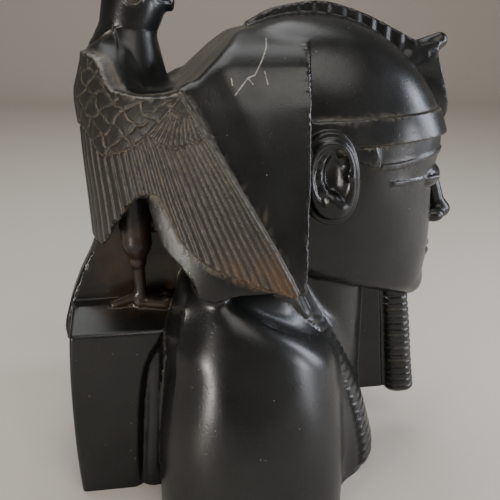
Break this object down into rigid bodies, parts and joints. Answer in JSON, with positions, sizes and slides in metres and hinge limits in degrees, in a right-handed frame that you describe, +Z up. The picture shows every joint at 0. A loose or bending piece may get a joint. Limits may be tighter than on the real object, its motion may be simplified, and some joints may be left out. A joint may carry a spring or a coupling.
{
  "type": "pharaoh bust",
  "caption": "Carved black stone bust of an Egyptian king in a striped headcloth, with a straight beard, a cobra at the brow and a falcon perched at the nape on a squared block.",
  "frame": {"origin": "on the middle plane of the flat underside, below the king's ear, 95 mm in front of the block's back face", "axes": "+Z up, the king faces -Y, his right side is -X"},
  "size_m": [0.2102, 0.2476, 0.3018],
  "materials": {
    "black_stone": "polished dark stone with dust in the cuts"
  },
  "bodies": {
    "root": {"bust": "black_stone"}
  },
  "joints": []
}
